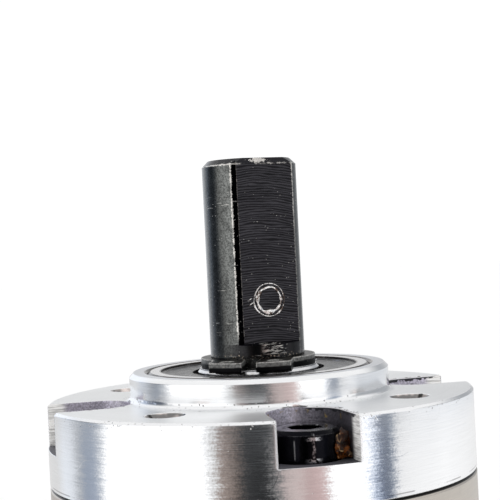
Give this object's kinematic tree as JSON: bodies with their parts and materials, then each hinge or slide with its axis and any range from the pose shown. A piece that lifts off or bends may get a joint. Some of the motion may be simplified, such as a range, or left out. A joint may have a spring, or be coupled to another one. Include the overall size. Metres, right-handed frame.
{
  "type": "planetary gearbox",
  "caption": "Two-stage planetary gearbox with a D-cut output shaft, round flanged face and motor plate for a small DC motor.",
  "frame": {"origin": "centre of the output flange's front face, on the shaft's axis", "axes": "+Z out along the output shaft; the screw pockets lie on the X and Y axes"},
  "size_m": [0.036, 0.036, 0.0506],
  "materials": {
    "turned_aluminium": "fine turned finish, bright, with machining marks and specks",
    "housing_steel": "satin ground steel",
    "plate_steel": "zinc-plated plate with a faced rear side",
    "black_screws": "black oxide with knurling and oil",
    "black_oxide_shaft": "black oxide, worn bright on the edges",
    "clip_steel": "phosphated spring steel, oily",
    "bearing_steel": "ground bearing steel",
    "cage_steel": "pressed steel",
    "shield_steel": "pressed shield under a film of grease",
    "gear_steel": "hobbed and hardened steel, greased",
    "carrier_steel": "turned steel",
    "pin_steel": "ground dowel pin",
    "washer_steel": "hardened washer"
  },
  "bodies": {
    "casing": {"output_flange": "turned_aluminium", "ring_gear_housing": "housing_steel", "motor_plate": "plate_steel", "flange_screws": "black_screws", "motor_plate_screws": "black_screws", "front_bearing_outer_ring": "bearing_steel", "front_bearing_shields": "shield_steel", "rear_bearing_outer_ring": "bearing_steel", "rear_bearing_shields": "shield_steel", "rear_thrust_washer": "washer_steel"},
    "output_shaft_assembly": {"output_shaft": "black_oxide_shaft", "output_carrier": "carrier_steel", "output_carrier_pins": "pin_steel", "output_planet_washers": "washer_steel", "retaining_ring": "clip_steel", "shim_washer": "bearing_steel", "bearing_spacer": "bearing_steel", "front_bearing_inner_ring": "bearing_steel", "rear_bearing_inner_ring": "bearing_steel"},
    "input_stage": {"input_carrier": "carrier_steel", "intermediate_sun_gear": "gear_steel", "input_carrier_pins": "pin_steel", "input_planet_washers": "washer_steel"},
    "output_planet_a": {"output_planet_gear_a": "gear_steel"},
    "output_planet_b": {"output_planet_gear_b": "gear_steel"},
    "output_planet_c": {"output_planet_gear_c": "gear_steel"},
    "input_planet_a": {"input_planet_gear_a": "gear_steel"},
    "input_planet_b": {"input_planet_gear_b": "gear_steel"},
    "input_planet_c": {"input_planet_gear_c": "gear_steel"},
    "pinion": {"input_pinion": "gear_steel"},
    "front_bearing_ball_set": {"front_bearing_balls": "bearing_steel", "front_bearing_cage": "cage_steel"},
    "rear_bearing_ball_set": {"rear_bearing_balls": "bearing_steel", "rear_bearing_cage": "cage_steel"}
  },
  "joints": [
    {"name": "output_spin", "type": "hinge", "parent": "casing", "child": "output_shaft_assembly", "pos_m": [0, 0, 0], "axis": [0, 0, 1], "continuous": true},
    {"name": "input_stage_spin", "type": "hinge", "parent": "casing", "child": "input_stage", "pos_m": [0, 0, -0.0198], "axis": [0, 0, 1], "continuous": true},
    {"name": "pinion_spin", "type": "hinge", "parent": "casing", "child": "pinion", "pos_m": [0, 0, -0.024], "axis": [0, 0, 1], "continuous": true},
    {"name": "output_planet_a_spin", "type": "hinge", "parent": "output_shaft_assembly", "child": "output_planet_a", "pos_m": [0, 0.0075, -0.016], "axis": [0, 0, 1], "continuous": true},
    {"name": "output_planet_b_spin", "type": "hinge", "parent": "output_shaft_assembly", "child": "output_planet_b", "pos_m": [-0.0065, -0.00375, -0.016], "axis": [0, 0, 1], "continuous": true},
    {"name": "output_planet_c_spin", "type": "hinge", "parent": "output_shaft_assembly", "child": "output_planet_c", "pos_m": [0.0065, -0.00375, -0.016], "axis": [0, 0, 1], "continuous": true},
    {"name": "input_planet_a_spin", "type": "hinge", "parent": "input_stage", "child": "input_planet_a", "pos_m": [0.00674, 0.00329, -0.023], "axis": [0, 0, 1], "continuous": true},
    {"name": "input_planet_b_spin", "type": "hinge", "parent": "input_stage", "child": "input_planet_b", "pos_m": [-0.00622, 0.00419, -0.023], "axis": [0, 0, 1], "continuous": true},
    {"name": "input_planet_c_spin", "type": "hinge", "parent": "input_stage", "child": "input_planet_c", "pos_m": [-0.00052, -0.00748, -0.023], "axis": [0, 0, 1], "continuous": true},
    {"name": "front_ball_set_spin", "type": "hinge", "parent": "casing", "child": "front_bearing_ball_set", "pos_m": [0, 0, -0.0007], "axis": [0, 0, 1], "continuous": true},
    {"name": "rear_ball_set_spin", "type": "hinge", "parent": "casing", "child": "rear_bearing_ball_set", "pos_m": [0, 0, -0.0075], "axis": [0, 0, 1], "continuous": true}
  ],
  "couplings": [
    {"joint": "input_stage_spin", "follows": "output_spin", "ratio": 4},
    {"joint": "pinion_spin", "follows": "output_spin", "ratio": 16},
    {"joint": "output_planet_a_spin", "follows": "output_spin", "ratio": -3},
    {"joint": "output_planet_b_spin", "follows": "output_spin", "ratio": -3},
    {"joint": "output_planet_c_spin", "follows": "output_spin", "ratio": -3},
    {"joint": "input_planet_a_spin", "follows": "output_spin", "ratio": -12},
    {"joint": "input_planet_b_spin", "follows": "output_spin", "ratio": -12},
    {"joint": "input_planet_c_spin", "follows": "output_spin", "ratio": -12},
    {"joint": "front_ball_set_spin", "follows": "output_spin", "ratio": 0.38241},
    {"joint": "rear_ball_set_spin", "follows": "output_spin", "ratio": 0.38241}
  ]
}
